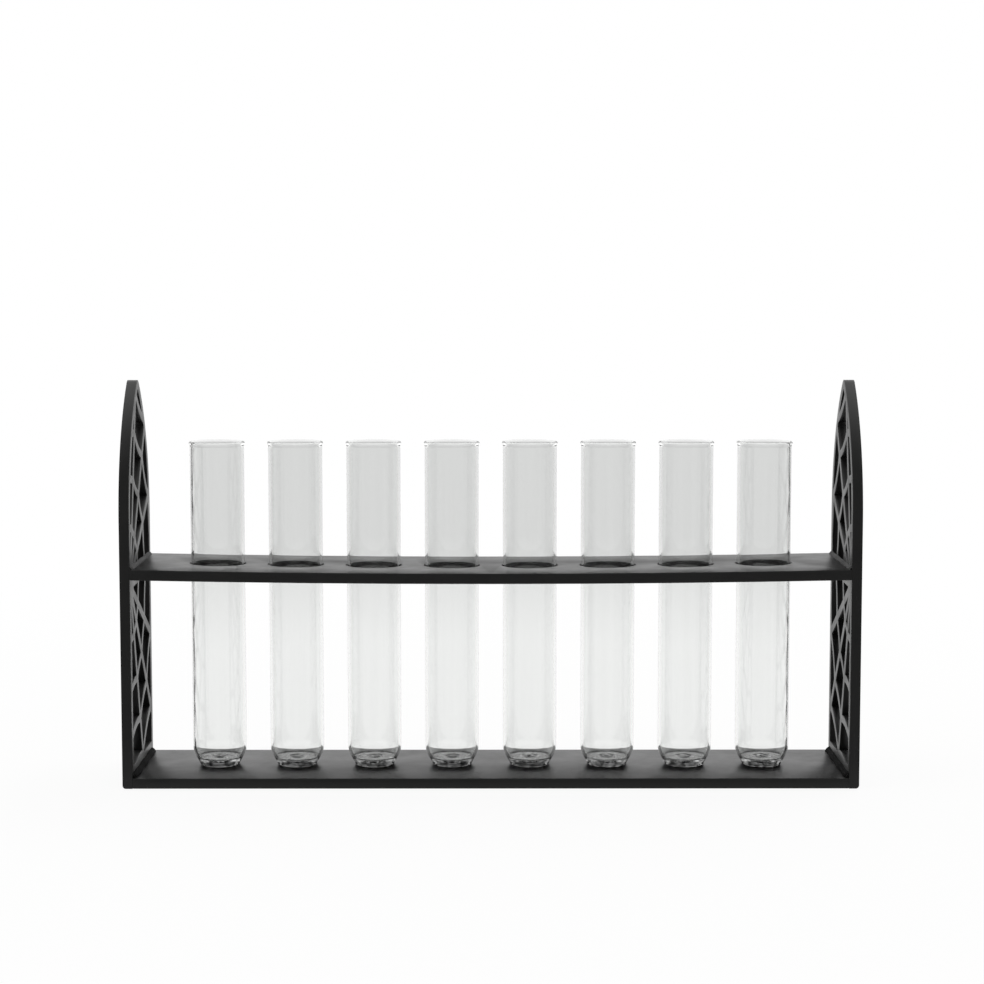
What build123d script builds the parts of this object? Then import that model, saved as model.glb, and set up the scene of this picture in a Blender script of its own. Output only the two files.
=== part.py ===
from build123d import *
import os
from math import sqrt

# A vase made of a row of eight glass test tubes in a welded stand. The stand has two end
# panels with pointed arch tops, pierced with a spider's web, a base plate that the tubes
# stand on, and a shelf with a hole for each tube. All sizes are in millimetres.
# X runs along the row, Y from front to back and Z up. The origin lies on the floor under
# the middle of the stand.

# Stand
frame_width = 335.0  # over the outer faces of the end panels
frame_depth = 64.5  # all the plates are this deep and lie flush front and back
panel_height = 184.5  # floor to the crown of the arch
panel_thickness = 4.6
base_thickness = 4.8
shelf_thickness = 4.8
shelf_height = 100.3  # floor to the top of the shelf, at its ends
shelf_sag = 1.7  # how much lower the shelf hangs at the middle of its span
foot_round = 1.5  # the ground lower outer edge of each end panel

# Pointed arch of the end panels
arch_radius = 80.0  # each side is one arc of this radius
crown_radius = 5.0  # rounding of the point

# Spider's web in the end panels
rim_width = 4.2  # solid border up the sides and round the arch
foot_band = 9.8  # solid border at the bottom
hub_height = 93.0  # where the spokes meet, on the front border
hub_radius = 9.5  # solid plate at the middle of the web
spoke_width = 3.8
thread_width = 3.5
thread_shares = (0.284, 0.53, 0.765, 0.973)  # ring sizes, as shares of the hub's depth below the crown
spoke_angles = (75, 54.5, 32, 1, -27, -49, -69.5)  # degrees above the level
border_angles = (90, -90)  # the front border stands in for the outermost spokes
border_shares = (1.04, 1.0)  # of a ring's distance
spoke_shares = (1.005, 0.985, 0.97, 0.96, 0.95, 0.98, 1.0)  # of a ring's distance
slack_share = 0.08  # how far a thread sags towards the hub, as a share of its span

# Test tubes
tube_count = 8
tube_diameter = 25.0
tube_length = 151.4
tube_wall = 1.2
rim_diameter = 25.8  # the bead round the mouth
rim_height = 2.6
heel_height = 8.2  # where the side starts to draw in to the foot
foot_diameter = 17.0
floor_thickness = 2.0
hole_clearance = 0.6  # between a tube and its hole, all round

# Weld beads
base_weld_leg = 2.4
shelf_weld_leg = 1.6
weld_setback = 1.2  # the beads stop short of the front and back edges
weld_crown_share = 0.12  # how far a bead's face bulges, as a share of its leg

# Places worked out from the sizes above
half_depth = frame_depth / 2
inner_face = frame_width / 2 - panel_thickness
tube_pitch = 2 * inner_face / (tube_count + 1)
tube_radius = tube_diameter / 2
bore_radius = tube_radius - tube_wall
tube_places = [(number - (tube_count - 1) / 2) * tube_pitch for number in range(tube_count)]

# The arcs of the arch have their centres on the level where the sides stop being straight.
arch_centre = arch_radius - half_depth
point_rise = sqrt(arch_radius**2 - arch_centre**2)
crown_rise = sqrt((arch_radius - crown_radius) ** 2 - arch_centre**2) + crown_radius
spring_height = panel_height - crown_rise

hub = Vector(-half_depth + rim_width / 2, hub_height)
web_reach = panel_height - hub_height
all_angles = (border_angles[0], *spoke_angles, border_angles[1])
all_shares = (border_shares[0], *spoke_shares, border_shares[1])


def web_knot(distance, angle, share):
    """Give the point where a ring of thread crosses a spoke, as depth and height."""
    return hub + Vector(distance * share, 0).rotate(Axis.Z, angle)


def slack_thread(start, end):
    """Draw one span of thread, pulled in towards the hub at its middle."""
    middle = (start + end) / 2
    pull = (hub - middle).normalized() * (end - start).length * slack_share
    return ThreePointArc(start, middle + pull, end)


def end_panel(outer_face, side):
    """Build an end panel, with its outer or inner face on the plane X = outer_face."""
    with BuildSketch(Plane.YZ.offset(outer_face)) as outline:
        with BuildLine():
            front_spring = (-half_depth, spring_height)
            back_spring = (half_depth, spring_height)
            crown = (0, spring_height + point_rise)
            RadiusArc(front_spring, crown, arch_radius)
            RadiusArc(crown, back_spring, arch_radius)
            Polyline(back_spring, (half_depth, 0), (-half_depth, 0), front_spring)
        make_face()
        fillet(outline.vertices().sort_by(Axis.Y)[-1], crown_radius)

    with BuildSketch(Plane.YZ.offset(outer_face)) as openings:
        add(outline.sketch_local)
        offset(amount=-rim_width, mode=Mode.REPLACE)
        Rectangle(frame_depth, 2 * foot_band, mode=Mode.SUBTRACT)
        with Locations(hub):
            Circle(hub_radius, mode=Mode.SUBTRACT)
        for angle in spoke_angles:
            with BuildLine():
                PolarLine(hub, panel_height, angle)
            trace(line_width=spoke_width, mode=Mode.SUBTRACT)
        for ring_share in thread_shares:
            distance = web_reach * ring_share
            knots = [web_knot(distance, *spoke) for spoke in zip(all_angles, all_shares)]
            with BuildLine():
                for start, end in zip(knots, knots[1:]):
                    slack_thread(start, end)
            trace(line_width=thread_width, mode=Mode.SUBTRACT)

    with BuildPart() as panel:
        extrude(outline.sketch, amount=panel_thickness)
        extrude(openings.sketch, amount=panel_thickness, mode=Mode.SUBTRACT)
        foot_edges = panel.edges().filter_by(Axis.Y).group_by(Axis.Z)[0]
        fillet(foot_edges.sort_by(Axis.X)[-1 if side > 0 else 0], foot_round)
    return panel.part


def weld_bead(side, height, leg):
    """Build the bead in the corner between a plate's top and an end panel."""
    corner = (side * inner_face, height)
    toe = (side * (inner_face - leg), height)
    top = (side * inner_face, height + leg)
    reach = leg * (0.5 - weld_crown_share)
    with BuildPart() as bead:
        with BuildSketch(Plane.XZ):
            with BuildLine():
                Polyline(toe, corner, top)
                ThreePointArc(top, (side * (inner_face - leg + reach), height + leg - reach), toe)
            make_face()
        extrude(amount=half_depth - weld_setback, both=True)
    return bead.part


def test_tube(place):
    """Build one test tube, standing on the base plate at X = place.

    There are eight tubes, so the round heel is one flat here and the bead is two.
    """
    stand = Plane((place, 0, base_thickness), x_dir=(1, 0, 0), z_dir=(0, -1, 0))
    foot_radius = foot_diameter / 2
    with BuildPart() as tube:
        with BuildSketch(stand):
            with BuildLine():
                Polyline(
                    (0, 0),
                    (foot_radius, 0),
                    (tube_radius, heel_height),
                    (tube_radius, tube_length - rim_height),
                    (rim_diameter / 2, tube_length - rim_height / 2),
                    (tube_radius, tube_length),
                    (bore_radius, tube_length),
                    (bore_radius, heel_height),
                    (foot_radius - tube_wall, floor_thickness),
                    (0, floor_thickness),
                    close=True,
                )
            make_face()
        revolve(axis=Axis(stand.origin, (0, 0, 1)))
    return tube.part


with BuildPart() as base_plate:
    with Locations((0, 0, base_thickness / 2)):
        Box(2 * inner_face, frame_depth, base_thickness)

with BuildPart() as tube_shelf:
    with BuildSketch(Plane.XZ):
        with BuildLine():
            top_face = ThreePointArc(
                (-inner_face, shelf_height), (0, shelf_height - shelf_sag), (inner_face, shelf_height)
            )
            under_face = ThreePointArc(
                (-inner_face, shelf_height - shelf_thickness),
                (0, shelf_height - shelf_thickness - shelf_sag),
                (inner_face, shelf_height - shelf_thickness),
            )
            Line(top_face @ 0, under_face @ 0)
            Line(top_face @ 1, under_face @ 1)
        make_face()
    extrude(amount=half_depth, both=True)
    with Locations(*[(place, 0) for place in tube_places]):
        Hole(tube_radius + hole_clearance)

pieces = {
    "left_end_panel": end_panel(-frame_width / 2, -1),
    "right_end_panel": end_panel(inner_face, 1),
    "base_plate": base_plate.part,
    "tube_shelf": tube_shelf.part,
    "base_weld_left": weld_bead(-1, base_thickness, base_weld_leg),
    "base_weld_right": weld_bead(1, base_thickness, base_weld_leg),
    "shelf_weld_left": weld_bead(-1, shelf_height, shelf_weld_leg),
    "shelf_weld_right": weld_bead(1, shelf_height, shelf_weld_leg),
}
for number, place in enumerate(tube_places, start=1):
    pieces[f"test_tube_{number}"] = test_tube(place)

os.makedirs("parts", exist_ok=True)
for name, piece in pieces.items():
    piece.label = name
    export_step(piece, f"parts/{name}.step")
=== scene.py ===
import logging
import math
from collections.abc import Iterator
from contextlib import contextmanager
from dataclasses import dataclass
from enum import Enum

import bpy
from mathutils import Matrix, Vector


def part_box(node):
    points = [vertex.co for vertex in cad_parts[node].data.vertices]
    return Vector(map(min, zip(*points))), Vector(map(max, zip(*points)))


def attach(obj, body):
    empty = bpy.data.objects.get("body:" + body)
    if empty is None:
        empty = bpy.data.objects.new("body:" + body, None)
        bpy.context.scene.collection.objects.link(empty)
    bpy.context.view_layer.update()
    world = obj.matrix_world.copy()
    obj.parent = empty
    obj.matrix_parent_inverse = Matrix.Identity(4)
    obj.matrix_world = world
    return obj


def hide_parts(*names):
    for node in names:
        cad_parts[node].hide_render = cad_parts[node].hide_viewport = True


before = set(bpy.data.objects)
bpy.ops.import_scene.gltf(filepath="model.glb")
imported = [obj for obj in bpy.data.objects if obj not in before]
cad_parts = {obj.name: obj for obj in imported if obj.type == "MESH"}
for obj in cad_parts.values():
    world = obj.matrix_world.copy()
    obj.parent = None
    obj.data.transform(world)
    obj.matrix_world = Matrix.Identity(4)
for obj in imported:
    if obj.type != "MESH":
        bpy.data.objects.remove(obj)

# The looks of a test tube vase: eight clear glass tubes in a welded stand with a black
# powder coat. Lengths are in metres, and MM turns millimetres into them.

MM = 0.001
STAND_BODY = "stand"

# Points closer than this are joined, and edges that turn less than this are dissolved.
JOINED = 1e-3 * MM
NEARLY_FLAT = math.radians(0.05)
# Edges of the plates that turn more than SHARP are rounded, each in this many strips of faces.
SHARP = math.radians(35)
EDGE_STRIPS = 2
# Edges that turn less than this are shaded smooth.
SMOOTH = math.radians(40)
# Things that are placed in steps of this turn never line up.
GOLDEN_TURN = math.radians(137.5)
# The range of a mask, and the range that most values of a noise texture lie in.
UNIT = (0.0, 1.0)
NOISE_SPREAD = (0.3, 0.7)
# The numbers of a Mix node's colour sockets and a Mix Shader node's shader sockets, because
# their names aren't theirs alone.
COLOUR_A, COLOUR_B, COLOUR_OUT = 6, 7, 2
SHADER_A, SHADER_B = 1, 2

log = logging.getLogger("test_tube_vase")


class Side(Enum):
    """The two ends of the stand, with the sign of X there."""

    LEFT = -1
    RIGHT = 1

    @property
    def word(self) -> str:
        """The side's name as it stands in the names of the pieces."""
        return self.name.lower()


def choose_only(piece: bpy.types.Object) -> None:
    """Make a piece the only selected and active object.

    Args:
        piece: The object to work on.
    """
    bpy.ops.object.select_all(action="DESELECT")
    piece.select_set(True)
    bpy.context.view_layer.objects.active = piece


@contextmanager
def edit_mode(piece: bpy.types.Object) -> Iterator[None]:
    """Work on a piece in edit mode, and leave edit mode at the end.

    Args:
        piece: The object to edit.

    Returns:
        A context that lasts as long as edit mode.
    """
    choose_only(piece)
    bpy.ops.object.mode_set(mode="EDIT")
    yield
    bpy.ops.object.mode_set(mode="OBJECT")


def apply_place(piece: bpy.types.Object) -> None:
    """Move a piece's place from its object into its mesh.

    Args:
        piece: The object to leave at the origin, unturned and unscaled.
    """
    choose_only(piece)
    bpy.ops.object.transform_apply(location=True, rotation=True, scale=True)


def finish_with(piece: bpy.types.Object, kind: str, **settings: object) -> None:
    """Give a piece a modifier and apply it.

    Args:
        piece: The object to change.
        kind: The modifier's type.
        **settings: Values for the modifier's own properties.
    """
    choose_only(piece)
    modifier = piece.modifiers.new(kind.title(), kind)
    for name, value in settings.items():
        setattr(modifier, name, value)
    bpy.ops.object.modifier_apply(modifier=modifier.name)


def shade_by_angle(piece: bpy.types.Object, angle: float) -> None:
    """Shade a piece smooth, but for the edges that turn more than an angle.

    Args:
        piece: The object to shade.
        angle: The largest turn that stays smooth, in radians.
    """
    choose_only(piece)
    bpy.ops.object.shade_smooth_by_angle(angle=angle)


def dress(piece: bpy.types.Object, material: bpy.types.Material) -> None:
    """Give a piece its one material.

    Args:
        piece: The object to dress.
        material: The finish.
    """
    piece.data.materials.clear()
    piece.data.materials.append(material)


def seat(piece: bpy.types.Object, body: str, node: str) -> None:
    """Let a piece ride on a body and stand for a node of the frame.

    Args:
        piece: The finished object.
        body: The body that carries it.
        node: The node that it replaces.
    """
    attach(piece, body)
    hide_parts(node)
    log.info("%s rides on %s, with %d faces", piece.name, body, len(piece.data.polygons))


def copy_of_node(node: str, name: str) -> bpy.types.Object:
    """Make a clean copy of a node's mesh, with its loose triangles joined into flat faces.

    Args:
        node: The node of the frame.
        name: The name of the copy.

    Returns:
        The copy, as an object at the origin.
    """
    piece = bpy.data.objects.new(name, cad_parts[node].data.copy())
    bpy.context.scene.collection.objects.link(piece)
    choose_only(piece)
    bpy.ops.mesh.customdata_custom_splitnormals_clear()
    with edit_mode(piece):
        bpy.ops.mesh.select_all(action="SELECT")
        bpy.ops.mesh.remove_doubles(threshold=JOINED)
        bpy.ops.mesh.dissolve_limited(angle_limit=NEARLY_FLAT)
    return piece


def round_edges(piece: bpy.types.Object, width: float) -> None:
    """Round the sharp edges of a plate, and mark the new faces for the edge wear and painted
    highlight.

    Args:
        piece: The object whose edges are rounded.
        width: How far the rounding reaches from each edge.
    """
    flat, rounded = 0, 1
    piece.data.materials.clear()
    for _ in (flat, rounded):
        piece.data.materials.append(None)
    for face in piece.data.polygons:
        face.material_index = flat
    finish_with(
        piece, "BEVEL", width=width, segments=EDGE_STRIPS, limit_method="ANGLE",
        angle_limit=SHARP, material=rounded, loop_slide=False, miter_outer="MITER_SHARP",
    )
    # The rounded faces carry the coat's edge wear and painted highlight.
    rubbed = piece.data.attributes.new(EdgeRubAndHighlight.attribute, "FLOAT", "FACE")
    for face in piece.data.polygons:
        rubbed.data[face.index].value = face.material_index
        face.material_index = flat
    shade_by_angle(piece, SMOOTH)


def finish_plate(piece: bpy.types.Object, edge: float, coat: bpy.types.Material,
                 node: str) -> None:
    """Round a plate's edges, coat it and put it on the stand.

    Args:
        piece: The plate.
        edge: How far the rounding reaches from each edge.
        coat: The stand's finish.
        node: The node that the plate replaces.
    """
    round_edges(piece, edge)
    dress(piece, coat)
    seat(piece, STAND_BODY, node)


class NodeSheet:
    """A node tree with short calls to add and join its nodes."""

    def __init__(self, tree: bpy.types.NodeTree) -> None:
        """Start with an empty tree.

        Args:
            tree: The node tree to fill.
        """
        self.tree = tree
        tree.nodes.clear()

    def add(self, kind: str, **values: object) -> bpy.types.Node:
        """Add a node and set its values.

        Args:
            kind: The node's type.
            **values: Properties by name, or inputs by name with spaces as underscores.

        Returns:
            The new node.
        """
        node = self.tree.nodes.new(kind)
        for name, value in values.items():
            if hasattr(node, name):
                setattr(node, name, value)
            else:
                node.inputs[name.replace("_", " ")].default_value = value
        return node

    def join(self, *pairs: tuple[bpy.types.NodeSocket, bpy.types.NodeSocket]) -> None:
        """Join outputs to inputs.

        Args:
            *pairs: An output and the input that it feeds, for each link.
        """
        for output, taken in pairs:
            self.tree.links.new(output, taken)

    def feed(self, taken: bpy.types.NodeSocket, value: bpy.types.NodeSocket | float) -> None:
        """Join an output to an input, or set the input where the value is a plain number.

        Args:
            taken: The input.
            value: The output or the number.
        """
        if isinstance(value, float):
            taken.default_value = value
        else:
            self.join((value, taken))

    def product(self, first: bpy.types.NodeSocket,
                second: bpy.types.NodeSocket | float) -> bpy.types.NodeSocket:
        """Multiply one value by another.

        Args:
            first: The value.
            second: What it is multiplied by.

        Returns:
            The product's output.
        """
        node = self.add("ShaderNodeMath", operation="MULTIPLY")
        self.feed(node.inputs[0], first)
        self.feed(node.inputs[1], second)
        return node.outputs["Value"]

    def remap(self, source: bpy.types.NodeSocket, old: tuple[float, float],
              new: tuple[float, float]) -> bpy.types.NodeSocket:
        """Turn one range of values into another.

        Args:
            source: The value to turn.
            old: Its lowest and highest value.
            new: What these become.

        Returns:
            The new value's output.
        """
        node = self.add("ShaderNodeMapRange", From_Min=old[0], From_Max=old[1],
                        To_Min=new[0], To_Max=new[1])
        self.join((source, node.inputs["Value"]))
        return node.outputs["Result"]

    def mix(self, first: tuple[float, ...], second: tuple[float, ...]) -> bpy.types.Node:
        """Add a mix of two colours.

        Args:
            first: The colour at factor 0.
            second: The colour at factor 1.

        Returns:
            The mix node.
        """
        node = self.add("ShaderNodeMix", data_type="RGBA")
        node.inputs[COLOUR_A].default_value = (*first, 1.0)
        node.inputs[COLOUR_B].default_value = (*second, 1.0)
        return node


def new_group(name: str, inputs: dict[str, float], outputs: tuple[str, ...]) -> NodeSheet:
    """Start a shader node group with number sockets.

    Args:
        name: The group's name.
        inputs: Each input's name and usual value.
        outputs: The outputs' names.

    Returns:
        The group's sheet, with its input and output nodes in it.
    """
    tree = bpy.data.node_groups.new(name, "ShaderNodeTree")
    for socket, value in inputs.items():
        made = tree.interface.new_socket(socket, in_out="INPUT", socket_type="NodeSocketFloat")
        made.default_value = value
    for socket in outputs:
        tree.interface.new_socket(socket, in_out="OUTPUT", socket_type="NodeSocketFloat")
    sheet = NodeSheet(tree)
    sheet.add("NodeGroupInput", name="In")
    sheet.add("NodeGroupOutput", name="Out")
    return sheet


class CoatGrain:
    """The fine orange peel of a baked powder coat, and its slow cloudy changes."""

    name = "Coat grain"

    @classmethod
    def tree(cls) -> bpy.types.NodeTree:
        """Give the group's tree, built at the first call.

        Returns:
            A tree with the outputs Peel and Cloud, both from 0 to 1.
        """
        if cls.name in bpy.data.node_groups:
            return bpy.data.node_groups[cls.name]
        sheet = new_group(cls.name, {"Peel scale": 900.0, "Cloud scale": 70.0}, ("Peel", "Cloud"))
        wanted, given = sheet.tree.nodes["In"], sheet.tree.nodes["Out"]
        place = sheet.add("ShaderNodeTexCoord")
        peel = sheet.add("ShaderNodeTexNoise", Detail=3.0, Roughness=0.55)
        cloud = sheet.add("ShaderNodeTexNoise", Detail=4.0, Roughness=0.6)
        sheet.join(
            (place.outputs["Object"], peel.inputs["Vector"]),
            (place.outputs["Object"], cloud.inputs["Vector"]),
            (wanted.outputs["Peel scale"], peel.inputs["Scale"]),
            (wanted.outputs["Cloud scale"], cloud.inputs["Scale"]),
            (peel.outputs["Fac"], given.inputs["Peel"]),
            (sheet.remap(cloud.outputs["Fac"], NOISE_SPREAD, UNIT), given.inputs["Cloud"]),
        )
        return sheet.tree


class EdgeRubAndHighlight:
    """Real wear where the coat is thin and handled smooth, and a painted highlight, along the
    rounded edges.
    """

    name = "Edge rub and highlight"
    attribute = "rubbed_and_lit_edge"
    patch_spread = (0.35, 0.65)
    patch_strength = (0.3, 1.0)

    @classmethod
    def tree(cls) -> bpy.types.NodeTree:
        """Give the group's tree, built at the first call.

        Returns:
            A tree with one output, the edge wear and painted highlight, from 0 to 1.
        """
        if cls.name in bpy.data.node_groups:
            return bpy.data.node_groups[cls.name]
        sheet = new_group(cls.name, {"Patch scale": 160.0, "Amount": 1.0}, ("Rubbed",))
        wanted, given = sheet.tree.nodes["In"], sheet.tree.nodes["Out"]
        edge = sheet.add("ShaderNodeAttribute", attribute_name=cls.attribute)
        place = sheet.add("ShaderNodeTexCoord")
        patches = sheet.add("ShaderNodeTexNoise", Detail=2.0)
        patchy = sheet.remap(patches.outputs["Fac"], cls.patch_spread, cls.patch_strength)
        rubbed = sheet.product(sheet.product(edge.outputs["Fac"], patchy), wanted.outputs["Amount"])
        sheet.join(
            (place.outputs["Object"], patches.inputs["Vector"]),
            (wanted.outputs["Patch scale"], patches.inputs["Scale"]),
            (rubbed, given.inputs["Rubbed"]),
        )
        return sheet.tree


@dataclass(frozen=True)
class PowderCoat:
    """A satin black powder coat on steel."""

    name: str
    dark: tuple[float, float, float] = (0.006, 0.006, 0.006)
    light: tuple[float, float, float] = (0.010, 0.010, 0.0097)
    # The rounded edges' colour: wear, and a painted highlight.
    rubbed: tuple[float, float, float] = (0.035, 0.035, 0.034)
    roughness: tuple[float, float] = (0.34, 0.43)
    rubbed_roughness: float = 0.30
    peel_scale: float = 900.0
    cloud_scale: float = 70.0
    peel_height: float = 0.02 * MM
    rub_and_highlight_amount: float = 0.6
    ior: float = 1.5

    def material(self) -> bpy.types.Material:
        """Make the coat as a material.

        Returns:
            The material.
        """
        material = bpy.data.materials.new(self.name)
        material.use_nodes = True
        sheet = NodeSheet(material.node_tree)
        grain = sheet.add("ShaderNodeGroup", node_tree=CoatGrain.tree(),
                          Peel_scale=self.peel_scale, Cloud_scale=self.cloud_scale)
        rub_and_highlight = sheet.add("ShaderNodeGroup", node_tree=EdgeRubAndHighlight.tree(), Amount=self.rub_and_highlight_amount)
        clouded = sheet.mix(self.dark, self.light)
        # Painted highlight and wear: the rounded edges are lighter.
        worn_and_lit = sheet.mix(self.dark, self.rubbed)
        rough = sheet.add("ShaderNodeMix", data_type="FLOAT", B=self.rubbed_roughness)
        bump = sheet.add("ShaderNodeBump", Distance=self.peel_height)
        coat = sheet.add("ShaderNodeBsdfPrincipled", IOR=self.ior)
        out = sheet.add("ShaderNodeOutputMaterial")
        sheet.join(
            (grain.outputs["Cloud"], clouded.inputs["Factor"]),
            (clouded.outputs[COLOUR_OUT], worn_and_lit.inputs[COLOUR_A]),
            (rub_and_highlight.outputs["Rubbed"], worn_and_lit.inputs["Factor"]),
            (worn_and_lit.outputs[COLOUR_OUT], coat.inputs["Base Color"]),
            (sheet.remap(grain.outputs["Cloud"], UNIT, self.roughness), rough.inputs["A"]),
            (rub_and_highlight.outputs["Rubbed"], rough.inputs["Factor"]),
            (rough.outputs["Result"], coat.inputs["Roughness"]),
            (grain.outputs["Peel"], bump.inputs["Height"]),
            (bump.outputs["Normal"], coat.inputs["Normal"]),
            (coat.outputs["BSDF"], out.inputs["Surface"]),
        )
        return material


@dataclass(frozen=True)
class ClearGlass:
    """Clear glass of a drawn tube, with faint streaks, finger marks and painted shade at the foot.

    The painted shade multiplies the colour, in patches, and fades between two heights off the
    floor.
    """

    name: str = "Clear glass"
    tint: tuple[float, float, float] = (0.925, 0.93, 0.925)
    streak_tint: tuple[float, float, float] = (0.94, 0.945, 0.94)
    ior: float = 1.47
    roughness: tuple[float, float] = (0.0, 0.01)
    mark_scale: float = 45.0
    mark_spread: tuple[float, float] = (0.5, 0.75)
    streak_scale: float = 260.0
    streak_stretch: float = 0.03
    # Painted shade: the tones, heights, scale and spread of the dark mottled band at the foot.
    foot_shade_tones: tuple[float, float] = (0.02, 0.5)
    foot_shade_heights: tuple[float, float] = (7.9 * MM, 9.3 * MM)
    foot_shade_scale: float = 420.0
    foot_shade_spread: tuple[float, float] = (0.4, 0.6)

    def material(self) -> bpy.types.Material:
        """Make the glass as a material.

        Returns:
            The material.
        """
        material = bpy.data.materials.new(self.name)
        material.use_nodes = True
        sheet = NodeSheet(material.node_tree)
        place = sheet.add("ShaderNodeTexCoord")
        marks = sheet.add("ShaderNodeTexNoise", Scale=self.mark_scale, Detail=5.0, Roughness=0.65)
        drawn = sheet.add("ShaderNodeMapping", Scale=(1.0, 1.0, self.streak_stretch))
        streaks = sheet.add("ShaderNodeTexNoise", Scale=self.streak_scale, Detail=2.0)
        tint = sheet.mix(self.tint, self.streak_tint)
        # Painted shade at the foot: noise mottles it, and it fades out with height.
        cloud = sheet.add("ShaderNodeTexNoise", Scale=self.foot_shade_scale, Detail=2.0)
        height = sheet.add("ShaderNodeSeparateXYZ")
        foot = sheet.add("ShaderNodeMix", data_type="FLOAT", B=1.0)
        shaded = sheet.add("ShaderNodeMix", data_type="RGBA", blend_type="MULTIPLY", Factor=1.0)
        glass = sheet.add("ShaderNodeBsdfPrincipled", IOR=self.ior, Transmission_Weight=1.0)
        out = sheet.add("ShaderNodeOutputMaterial")
        roughness = sheet.remap(marks.outputs["Fac"], self.mark_spread, self.roughness)
        streaked = sheet.remap(streaks.outputs["Fac"], NOISE_SPREAD, UNIT)
        foot_shade = sheet.remap(cloud.outputs["Fac"], self.foot_shade_spread, self.foot_shade_tones)
        above_foot_shade = sheet.remap(height.outputs["Z"], self.foot_shade_heights, UNIT)
        for node in (marks, drawn, cloud, height):
            sheet.join((place.outputs["Object"], node.inputs["Vector"]))
        sheet.join(
            (drawn.outputs["Vector"], streaks.inputs["Vector"]),
            (streaked, tint.inputs["Factor"]),
            (foot_shade, foot.inputs["A"]),
            (above_foot_shade, foot.inputs["Factor"]),
            (tint.outputs[COLOUR_OUT], shaded.inputs[COLOUR_A]),
            (foot.outputs["Result"], shaded.inputs[COLOUR_B]),
            (shaded.outputs[COLOUR_OUT], glass.inputs["Base Color"]),
            (roughness, glass.inputs["Roughness"]),
            (glass.outputs["BSDF"], out.inputs["Surface"]),
        )
        return material


@dataclass
class EndPanel:
    """A flat end of the stand, with a pointed arch and a spider's web cut through it."""

    side: Side
    edge: float = 0.3 * MM

    def build(self, coat: bpy.types.Material) -> None:
        """Round the panel's cut edges, coat it and put it on the stand.

        Args:
            coat: The stand's finish.
        """
        node = f"{self.side.word}_end_panel"
        piece = copy_of_node(node, f"web_panel_{self.side.word}")
        finish_plate(piece, self.edge, coat, node)


@dataclass
class TubeShelf:
    """The bowed shelf with a hole for each tube."""

    edge: float = 0.3 * MM

    def build(self, coat: bpy.types.Material) -> None:
        """Round the shelf's edges and its holes, coat it and put it on the stand.

        Args:
            coat: The stand's finish.
        """
        piece = copy_of_node("tube_shelf", "holed_shelf")
        finish_plate(piece, self.edge, coat, "tube_shelf")


@dataclass
class BasePlate:
    """The plate that the tubes stand on."""

    edge: float = 0.4 * MM

    def build(self, coat: bpy.types.Material) -> None:
        """Shape the plate, round its edges, coat it and put it on the stand.

        Args:
            coat: The stand's finish.
        """
        low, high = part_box("base_plate")
        bpy.ops.object.select_all(action="DESELECT")
        bpy.ops.mesh.primitive_cube_add(size=1.0, location=(low + high) / 2, scale=high - low)
        piece = bpy.context.object
        piece.name = "floor_plate"
        apply_place(piece)
        finish_plate(piece, self.edge, coat, "base_plate")


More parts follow.
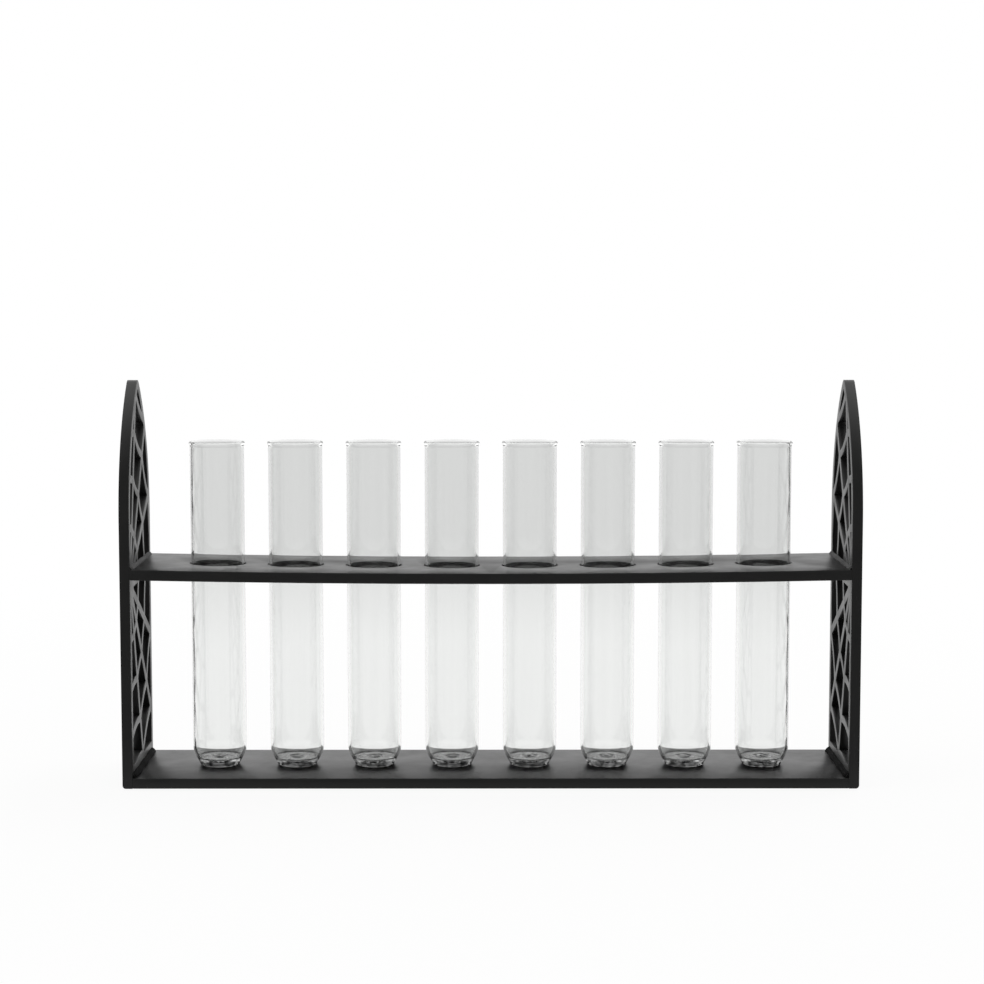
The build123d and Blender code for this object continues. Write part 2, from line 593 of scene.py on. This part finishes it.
@dataclass
class WeldBead:
    """A run of weld in the corner between a plate's top and an end panel."""

    plate: str
    side: Side
    bulge: float = 0.12
    ripple_length: float = 1.5 * MM
    ripple_depth: float = 0.10
    ripple_steps: int = 4
    sway_depth: float = 0.08
    sway_count: float = 3.1
    sway_start: float = 0.2
    end_size: float = 0.55
    end_growth: float = 12.0
    profile_points: int = 7
    smooth: float = math.radians(50)

    def build(self, coat: bpy.types.Material) -> None:
        """Draw the bead's section, run it along the corner in ripples, and coat it.

        Args:
            coat: The weld's finish.
        """
        node = f"{self.plate}_weld_{self.side.word}"
        low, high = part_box(node)
        leg = high.z - low.z
        corner = Vector((high.x if self.side is Side.RIGHT else low.x, low.y, low.z))
        bpy.ops.object.select_all(action="DESELECT")
        bpy.ops.mesh.primitive_plane_add(size=leg, location=corner)
        piece = bpy.context.object
        piece.name = f"{self.plate}_bead_{self.side.word}"
        apply_place(piece)
        with edit_mode(piece):
            bpy.ops.mesh.select_mode(type="VERT")
            bpy.ops.mesh.select_all(action="SELECT")
            bpy.ops.mesh.merge(type="CENTER")
            self._draw_section(corner, leg)
            self._run_along(corner, high.y - low.y)
            bpy.ops.mesh.select_all(action="SELECT")
            bpy.ops.mesh.normals_make_consistent(inside=False)
        shade_by_angle(piece, self.smooth)
        dress(piece, coat)
        seat(piece, STAND_BODY, node)

    def _draw_section(self, corner: Vector, leg: float) -> None:
        """Draw the three-sided section with its bulged face, starting at the corner.

        Args:
            corner: Where the plate and the panel meet, at the bead's front end.
            leg: How far the bead reaches along the plate and up the panel.
        """
        inward = -self.side.value
        here = corner.copy()
        for index in range(self.profile_points + 1):
            share = index / self.profile_points
            crown = self.bulge * math.sin(math.pi * share)
            there = corner + leg * Vector((inward * (1 - share + crown), 0.0, share + crown))
            bpy.ops.mesh.extrude_region_move(TRANSFORM_OT_translate={"value": there - here})
            here = there
        bpy.ops.mesh.select_all(action="SELECT")
        bpy.ops.mesh.edge_face_add()

    def _run_along(self, corner: Vector, length: float) -> None:
        """Extrude the section along the corner, swelling and shrinking about it.

        Args:
            corner: Where the plate and the panel meet, at the bead's front end.
            length: The bead's length along Y.
        """
        steps = round(length / self.ripple_length) * self.ripple_steps
        self._resize_to(self.end_size, 1.0, corner)
        size = self.end_size
        for step in range(1, steps + 1):
            share = step / steps
            bpy.ops.mesh.extrude_region_move(
                TRANSFORM_OT_translate={"value": (0.0, length / steps, 0.0)}
            )
            wanted = self._size_at(step, share)
            self._resize_to(wanted, size, corner + Vector((0.0, share * length, 0.0)))
            size = wanted

    def _size_at(self, step: int, share: float) -> float:
        """Give the bead's size at a step, with its ripples, its sway and its small ends.

        Args:
            step: The step's number.
            share: How far along the bead it lies, from 0 to 1.

        Returns:
            The size, as a share of the full section.
        """
        ripple = self.ripple_depth * abs(math.sin(math.pi * step / self.ripple_steps))
        sway_turns = self.sway_count * share + self.sway_start * self.side.value
        sway = self.sway_depth * math.sin(2 * math.pi * sway_turns)
        taper = min(1.0, self.end_size + self.end_growth * min(share, 1 - share))
        return taper * (1 - self.sway_depth + sway) * (1 - ripple)

    @staticmethod
    def _resize_to(wanted: float, present: float, centre: Vector) -> None:
        """Resize what is selected about the corner line.

        Args:
            wanted: The size to reach, as a share of the full section.
            present: The size that it has.
            centre: The point that stays.
        """
        share = wanted / present
        bpy.ops.transform.resize(value=(share, 1.0, share), center_override=centre)


@dataclass
class TestTube:
    """A test tube with a beaded mouth, a drawn-in heel and a pushed-up foot.

    Its section is kept as points, each a distance from the axis and a height above the foot.
    The punt is the hollow under the foot. The floor inside has a pit with a nub in it.
    """

    turns: int = 128
    wall: float = 1.2 * MM
    bead_height: float = 2.3 * MM
    bead_reach: float = 0.4 * MM
    lip_height: float = 0.8 * MM
    heel_height: float = 9.6 * MM
    heel_radius: float = 11.0 * MM
    heel_slope: float = math.radians(27)
    foot_corner: float = 1.0 * MM
    punt_gap: float = 2.0 * MM
    punt_height: float = 1.0 * MM
    floor_height: float = 3.7 * MM
    floor_corner: float = 1.2 * MM
    pit_radius: float = 4.6 * MM
    pit_depth: float = 1.5 * MM
    nub_radius: float = 0.8 * MM
    nub_height: float = 0.5 * MM
    dent_count: int = 16
    dent_radius: float = 2.6 * MM
    dent_depth: float = 0.4 * MM
    dent_shares: tuple[float, float] = (0.45, 0.55)
    dent_change: float = 2.4
    dent_reach: float = 6.4 * MM
    ring_gaps: tuple[float, ...] = (0.5 * MM, 2.0 * MM, 8.0 * MM)
    bead_steps: int = 6
    lip_steps: int = 14
    heel_steps: int = 12
    corner_steps: int = 8
    underside_steps: int = 28
    floor_steps: int = 40

    def model(self, node: str) -> bpy.types.Object:
        """Model one tube where a node stands, by drawing half its section and spinning it.

        Args:
            node: The node whose box gives the tube's place and outer sizes.

        Returns:
            The tube.
        """
        low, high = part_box(node)
        centre = (low + high) / 2
        foot = Vector((centre.x, centre.y, low.z))
        section = self._half_section((high.x - low.x) / 2 - self.bead_reach, high.z - low.z)
        bpy.ops.object.select_all(action="DESELECT")
        bpy.ops.mesh.primitive_plane_add(size=self.wall, location=foot)
        piece = bpy.context.object
        apply_place(piece)
        with edit_mode(piece):
            bpy.ops.mesh.select_mode(type="VERT")
            bpy.ops.mesh.select_all(action="SELECT")
            bpy.ops.mesh.merge(type="CENTER")
            here = section[0]
            bpy.ops.transform.translate(value=(here[0], 0.0, here[1]))
            for there in section[1:]:
                step = (there[0] - here[0], 0.0, there[1] - here[1])
                bpy.ops.mesh.extrude_region_move(TRANSFORM_OT_translate={"value": step})
                here = there
            bpy.ops.mesh.select_all(action="SELECT")
            bpy.ops.mesh.spin(
                steps=self.turns, angle=2 * math.pi, center=foot, axis=(0.0, 0.0, 1.0)
            )
            bpy.ops.mesh.select_all(action="SELECT")
            bpy.ops.mesh.remove_doubles(threshold=JOINED)
            bpy.ops.mesh.normals_make_consistent(inside=False)
        for number in range(self.dent_count):
            self._dent(piece, foot, number)
        shade_by_angle(piece, SMOOTH)
        return piece

    def _dent(self, piece: bpy.types.Object, foot: Vector, number: int) -> None:
        """Press one dent up into the underside, which was flattened by hand.

        Args:
            piece: The tube.
            foot: The middle of the foot.
            number: The dent's number, which gives its place and depth.
        """
        share = (number + 0.5) / self.dent_count
        turn = GOLDEN_TURN * number
        reach = self.dent_reach * math.sqrt(share)
        place = foot + Vector((reach * math.cos(turn), reach * math.sin(turn), 0.0))
        steady, changing = self.dent_shares
        depth = self.dent_depth * (steady + changing * math.sin(self.dent_change * number) ** 2)
        limit = foot.z + self.punt_height + self.dent_depth
        under = [v for v in piece.data.vertices if v.co.z < limit]
        nearest = min(under, key=lambda v: (v.co.xy - place.xy).length)
        choose_only(piece)
        for vertex in piece.data.vertices:
            vertex.select = False
        for part in (*piece.data.edges, *piece.data.polygons):
            part.select = False
        nearest.select = True
        with edit_mode(piece):
            bpy.ops.mesh.select_mode(type="VERT")
            bpy.ops.transform.translate(
                value=(0.0, 0.0, depth), use_proportional_edit=True,
                use_proportional_connected=True, proportional_edit_falloff="SMOOTH",
                proportional_size=self.dent_radius,
            )

    def _half_section(self, radius: float, length: float) -> list[tuple[float, float]]:
        """Work out half the tube's section, from the foot round the mouth to the floor.

        The straight stretches get extra rings near their ends, which keep their shading level.

        Args:
            radius: The tube's outer radius below its bead.
            length: From the foot to the mouth.

        Returns:
            The section's points.
        """
        bore = radius - self.wall
        outer_heel = self._heel(radius, self.heel_radius, self.foot_corner, 0.0)
        inner_heel = self._heel(bore, self.heel_radius - self.wall, self.floor_corner,
                                self.floor_height)
        outer_foot = self._underside(outer_heel[0][0]) + outer_heel
        inner_foot = self._floor(inner_heel[0][0] - self.punt_gap) + inner_heel
        low, high = self.heel_height, length - self.bead_height
        lip_foot = length - self.lip_height
        crest = radius + self.bead_reach
        swell = [
            (radius + self.bead_reach * 0.5 * (1 - math.cos(math.pi * share)),
             high + (lip_foot - high) * share)
            for share in (step / self.bead_steps for step in range(self.bead_steps + 1))
        ]
        ridge = (bore + crest) / 2
        lip = self._arc((ridge, lip_foot), crest - ridge, self.lip_height, 0.0, math.pi,
                        self.lip_steps)
        rings = [low + gap for gap in self.ring_gaps]
        rings += [high - gap for gap in reversed(self.ring_gaps)]
        outside = [(radius, height) for height in rings]
        inside = [(bore, height) for height in reversed(rings)]
        under_lip = [(bore, lip_foot - self.ring_gaps[0])]
        return outer_foot + outside + swell + lip[1:] + under_lip + inside + inner_foot[::-1]

    def _underside(self, ring: float) -> list[tuple[float, float]]:
        """Trace the underside from the axis to the ring that it stands on.

        Args:
            ring: The ring's distance from the axis.

        Returns:
            The points, from the axis outwards.
        """
        reach, steps = ring - self.punt_gap, self.underside_steps
        turns = [math.pi / 2 * step / steps for step in range(steps + 1)]
        return [
            (reach * math.sin(turn) ** 2, self.punt_height * math.cos(turn) ** 2)
            for turn in turns
        ]

    def _floor(self, reach: float) -> list[tuple[float, float]]:
        """Trace the floor inside, with the pit and the nub that were left by sealing the glass.

        Args:
            reach: The floor's distance from the axis at its corner.

        Returns:
            The points, from the axis outwards.
        """
        points = []
        steps = self.floor_steps
        for radius in (reach * step / steps for step in range(steps + 1)):
            inside = max(0.0, 1.0 - radius / self.pit_radius)
            pit = self.pit_depth * inside * inside * (3 - 2 * inside)
            nub = self.nub_height * math.exp(-((radius / self.nub_radius) ** 2))
            points.append((radius, self.floor_height - pit + nub))
        return points

    def _heel(self, radius: float, bend: float, corner: float,
              base: float) -> list[tuple[float, float]]:
        """Trace a corner of the foot and the heel, up to the straight side.

        Args:
            radius: The side's distance from the axis.
            bend: The radius of the heel's bend.
            corner: The radius of the corner.
            base: The height where the corner starts.

        Returns:
            The points, from the corner upwards.
        """
        slope = self.heel_slope
        bend_end = radius - bend * (1 - math.cos(slope))
        bend_foot = self.heel_height - bend * math.sin(slope)
        drop = bend_foot - base - corner * (1 - math.sin(slope))
        ring = bend_end - drop * math.tan(slope) - corner * math.cos(slope)
        foot_arc = self._arc((ring, base + corner), corner, corner, -math.pi / 2, -slope,
                             self.corner_steps)
        heel_arc = self._arc((radius - bend, self.heel_height), bend, bend, -slope, 0.0,
                             self.heel_steps)
        return foot_arc + heel_arc

    @staticmethod
    def _arc(centre: tuple[float, float], across: float, up: float, start: float, end: float,
             steps: int) -> list[tuple[float, float]]:
        """Trace part of an ellipse.

        Args:
            centre: Its middle, as distance from the axis and height.
            across: Its half width.
            up: Its half height.
            start: The angle where it starts, in radians.
            end: The angle where it ends.
            steps: How many stretches it has.

        Returns:
            The points.
        """
        turns = [start + (end - start) * step / steps for step in range(steps + 1)]
        return [(centre[0] + across * math.cos(t), centre[1] + up * math.sin(t)) for t in turns]


@dataclass
class TubeRow:
    """All the tubes, each on the body that lifts it."""

    tube: TestTube
    turn_step: float = GOLDEN_TURN

    def build(self, glass: bpy.types.Material) -> None:
        """Model the first tube, copy it to the other places and dress them all.

        Args:
            glass: The tubes' finish.
        """
        nodes = sorted(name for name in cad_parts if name.startswith("test_tube_"))
        first = self.tube.model(nodes[0])
        start = self._middle(nodes[0])
        for node in nodes:
            number = node.rsplit("_", 1)[1]
            turn = self.turn_step * (int(number) - 1)
            piece = first
            if node != nodes[0]:
                piece = self._copy(first, start, self._middle(node), turn)
            piece.name = f"glass_tube_{number}"
            dress(piece, glass)
            seat(piece, f"tube_{number}", node)

    @staticmethod
    def _middle(node: str) -> Vector:
        """Give the middle of a node's box."""
        low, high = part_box(node)
        return (low + high) / 2

    @staticmethod
    def _copy(piece: bpy.types.Object, start: Vector, place: Vector,
              turn: float) -> bpy.types.Object:
        """Copy a tube with its own mesh, turned about its own axis.

        Args:
            piece: The tube to copy.
            start: The middle of that tube.
            place: The middle of the copy.
            turn: How far the copy is turned, in radians.

        Returns:
            The copy.
        """
        mesh = piece.data.copy()
        mesh.transform(
            Matrix.Translation(place) @ Matrix.Rotation(turn, 4, "Z") @ Matrix.Translation(-start)
        )
        copy = bpy.data.objects.new(piece.name, mesh)
        bpy.context.scene.collection.objects.link(copy)
        return copy


@dataclass(frozen=True)
class SoftLamp:
    """A square lamp that lights the vase but isn't mirrored in it or seen through its glass."""

    name: str
    place: tuple[float, float, float]
    size: float
    power: float

    def hang(self) -> None:
        """Hang the lamp so that it points at the vase."""
        data = bpy.data.lights.new(self.name, "AREA")
        data.size = self.size
        data.energy = self.power
        lamp = bpy.data.objects.new(self.name, data)
        lamp.location = self.place
        lamp.rotation_euler = Vector(self.place).to_track_quat("Z", "Y").to_euler()
        lamp.visible_glossy = False
        lamp.visible_transmission = False
        bpy.context.scene.collection.objects.link(lamp)


@dataclass
class Studio:
    """A pale floor, soft light all round and the photograph's camera.

    Past the vase, the photographer's paper is seen as pure white. Through the glass it shows
    its own tones: the floor darkens with distance, and the surround is darkest some way above
    the horizon. Mirrored in the vase it is darker in front, where the camera stood, and
    brighter overhead. A reach is a range of distances from the middle of the floor. A rise is
    the height of a ray's direction, from 0 for a level ray to 1 for one that goes straight up.
    """

    lens: float = 84.2
    camera_place: tuple[float, float, float] = (-0.0007, -1.062, 0.2312)
    camera_turn: tuple[float, float, float] = (84.694, 0.014, -0.07)
    camera_sight: float = 100.0
    floor_size: float = 30.0
    floor_drop: float = 0.01 * MM
    floor_colour: tuple[float, float, float] = (0.9, 0.9, 0.89)
    near_whiteness: float = 0.92
    shadow_reach: tuple[float, float] = (0.2, 0.7)
    paper_tones: tuple[float, float] = (1.0, 0.79)
    paper_reach: tuple[float, float] = (0.4, 1.0)
    front_tone: float = 0.25
    front_floor: tuple[float, float] = (-0.065, 0.04)  # where the floor's dark front fades, in Y
    front_sky: tuple[float, float] = (-0.7, -0.05)  # the same for a ray's direction, in Y
    overhead_gain: float = 1.5
    overhead_rise: tuple[float, float] = (0.5, 0.95)
    inner_tones: tuple[float, float] = (1.25, 0.6)
    inner_rise: tuple[float, float] = (0.3, 0.5)
    surround_tones: tuple[tuple[float, float], ...] = (
        (0.0, 0.85), (0.18, 0.5), (0.27, 0.3), (0.42, 0.3), (0.65, 1.0),
    )
    ambient: float = 0.75
    lamps: tuple[SoftLamp, ...] = (
        SoftLamp("key_lamp", (0.7, 0.8, 1.6), size=1.4, power=13.0),
        SoftLamp("fill_lamp", (-1.3, -0.3, 1.3), size=1.2, power=6.5),
    )

    def build(self) -> None:
        """Set the whole stage up."""
        bpy.context.scene.view_settings.view_transform = "Standard"
        self._camera()
        self._floor()
        self._world()
        for lamp in self.lamps:
            lamp.hang()

    def _camera(self) -> None:
        """Stand the camera where the photograph was taken."""
        data = bpy.data.cameras.new("camera")
        data.lens = self.lens
        data.clip_end = self.camera_sight
        camera = bpy.data.objects.new("camera", data)
        camera.location = self.camera_place
        camera.rotation_euler = [math.radians(turn) for turn in self.camera_turn]
        bpy.context.scene.collection.objects.link(camera)
        bpy.context.scene.camera = camera

    @staticmethod
    def _by_ray(sheet: NodeSheet, path: bpy.types.Node, otherwise: bpy.types.NodeSocket | float,
                **tones: bpy.types.NodeSocket | float) -> bpy.types.NodeSocket:
        """Choose a tone by the kind of ray that asks for it.

        Args:
            sheet: The node sheet of the floor or the world.
            path: Its light path node.
            otherwise: The tone for all rays that aren't named.
            **tones: Tones by kind of ray; a later kind overrules an earlier one.

        Returns:
            The chosen tone's output.
        """
        chosen = otherwise
        for kind, tone in tones.items():
            choice = sheet.add("ShaderNodeMix", data_type="FLOAT")
            sheet.join((path.outputs[f"Is {kind.title()} Ray"], choice.inputs["Factor"]))
            sheet.feed(choice.inputs["A"], chosen)
            sheet.feed(choice.inputs["B"], tone)
            chosen = choice.outputs["Result"]
        return chosen

    def _floor(self) -> None:
        """Lay the pale floor, which is seen as white but keeps its shadows near the vase."""
        bpy.ops.object.select_all(action="DESELECT")
        bpy.ops.mesh.primitive_plane_add(
            size=self.floor_size, location=(0.0, 0.0, -self.floor_drop)
        )
        floor = bpy.context.object
        floor.name = "pale_floor"
        material = bpy.data.materials.new("Pale floor")
        material.use_nodes = True
        sheet = NodeSheet(material.node_tree)
        path = sheet.add("ShaderNodeLightPath")
        place = sheet.add("ShaderNodeTexCoord")
        parts = sheet.add("ShaderNodeSeparateXYZ")
        distance = sheet.add("ShaderNodeVectorMath", operation="LENGTH")
        sheet.join(
            (place.outputs["Object"], parts.inputs["Vector"]),
            (place.outputs["Object"], distance.inputs[0]),
        )
        far = distance.outputs["Value"]
        mirrored = sheet.remap(parts.outputs["Y"], self.front_floor, (self.front_tone, 1.0))
        paper = sheet.remap(far, self.paper_reach, self.paper_tones)
        tone = self._by_ray(sheet, path, 1.0, glossy=mirrored, transmission=paper)
        whiteness = sheet.remap(far, self.shadow_reach, (self.near_whiteness, 1.0))
        share = self._by_ray(sheet, path, 0.0, camera=whiteness, glossy=whiteness,
                             transmission=whiteness)
        lit = sheet.add("ShaderNodeBsdfDiffuse", Color=(*self.floor_colour, 1.0))
        white = sheet.add("ShaderNodeEmission")
        mix = sheet.add("ShaderNodeMixShader")
        out = sheet.add("ShaderNodeOutputMaterial")
        sheet.join(
            (tone, white.inputs["Strength"]),
            (share, mix.inputs["Fac"]),
            (lit.outputs["BSDF"], mix.inputs[SHADER_A]),
            (white.outputs["Emission"], mix.inputs[SHADER_B]),
            (mix.outputs["Shader"], out.inputs["Surface"]),
        )
        floor.data.materials.append(material)

    def _world(self) -> None:
        """Surround the vase with white and light it softly, least of all from the front."""
        world = bpy.data.worlds.new("studio")
        world.use_nodes = True
        bpy.context.scene.world = world
        sheet = NodeSheet(world.node_tree)
        path = sheet.add("ShaderNodeLightPath")
        place = sheet.add("ShaderNodeTexCoord")
        parts = sheet.add("ShaderNodeSeparateXYZ")
        sheet.join((place.outputs["Object"], parts.inputs["Vector"]))
        rise = parts.outputs["Z"]
        sides = sheet.remap(parts.outputs["Y"], self.front_sky, (self.front_tone, 1.0))
        overhead = sheet.remap(rise, self.overhead_rise, (1.0, self.overhead_gain))
        tone = self._by_ray(
            sheet, path, sheet.product(sides, self.ambient),
            glossy=sheet.product(sides, overhead),
            transmission=self._through_glass(sheet, path, rise), camera=1.0,
        )
        surround = sheet.add("ShaderNodeBackground", Color=(1.0, 1.0, 1.0, 1.0))
        out = sheet.add("ShaderNodeOutputWorld")
        sheet.join(
            (tone, surround.inputs["Strength"]),
            (surround.outputs["Background"], out.inputs["Surface"]),
        )

    def _through_glass(self, sheet: NodeSheet, path: bpy.types.Node,
                       rise: bpy.types.NodeSocket) -> bpy.types.NodeSocket:
        """Give the surround's tone as it is seen through the glass.

        Rays that went straight through see the surround's own tones. Rays that were reflected
        on the way, for which Glossy Depth is 1 or more, see the inner tones.

        Args:
            sheet: The world's node sheet.
            path: Its light path node.
            rise: How steeply the ray climbs.

        Returns:
            The tone's output.
        """
        ramp = sheet.add("ShaderNodeValToRGB")
        stops = ramp.color_ramp.elements
        for index, (place, tone) in enumerate(self.surround_tones):
            stop = stops[index] if index < len(stops) else stops.new(place)
            stop.position = place
            stop.color = (tone, tone, tone, 1.0)
        through = sheet.add("ShaderNodeMix", data_type="FLOAT", clamp_factor=True)
        sheet.join(
            (rise, ramp.inputs["Fac"]),
            (path.outputs["Glossy Depth"], through.inputs["Factor"]),
            (ramp.outputs["Color"], through.inputs["A"]),
            (sheet.remap(rise, self.inner_rise, self.inner_tones), through.inputs["B"]),
        )
        return through.outputs["Result"]


def main() -> None:
    """Build the stage, the stand and the tubes."""
    logging.basicConfig(level=logging.INFO, format="%(message)s")
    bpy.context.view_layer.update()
    Studio().build()
    plate_coat = PowderCoat("Plate coat").material()
    weld_coats = {
        "base": PowderCoat("Base weld coat", roughness=(0.7, 0.8), peel_scale=600.0,
                           peel_height=0.04 * MM, ior=1.2).material(),
        "shelf": PowderCoat("Shelf weld coat", roughness=(0.5, 0.6), peel_scale=600.0,
                            peel_height=0.03 * MM, ior=1.45).material(),
    }
    for side in Side:
        EndPanel(side).build(plate_coat)
    BasePlate().build(plate_coat)
    TubeShelf().build(plate_coat)
    for plate, weld_coat in weld_coats.items():
        for side in Side:
            WeldBead(plate, side).build(weld_coat)
    TubeRow(TestTube()).build(ClearGlass().material())


if __name__ == "__main__":
    main()
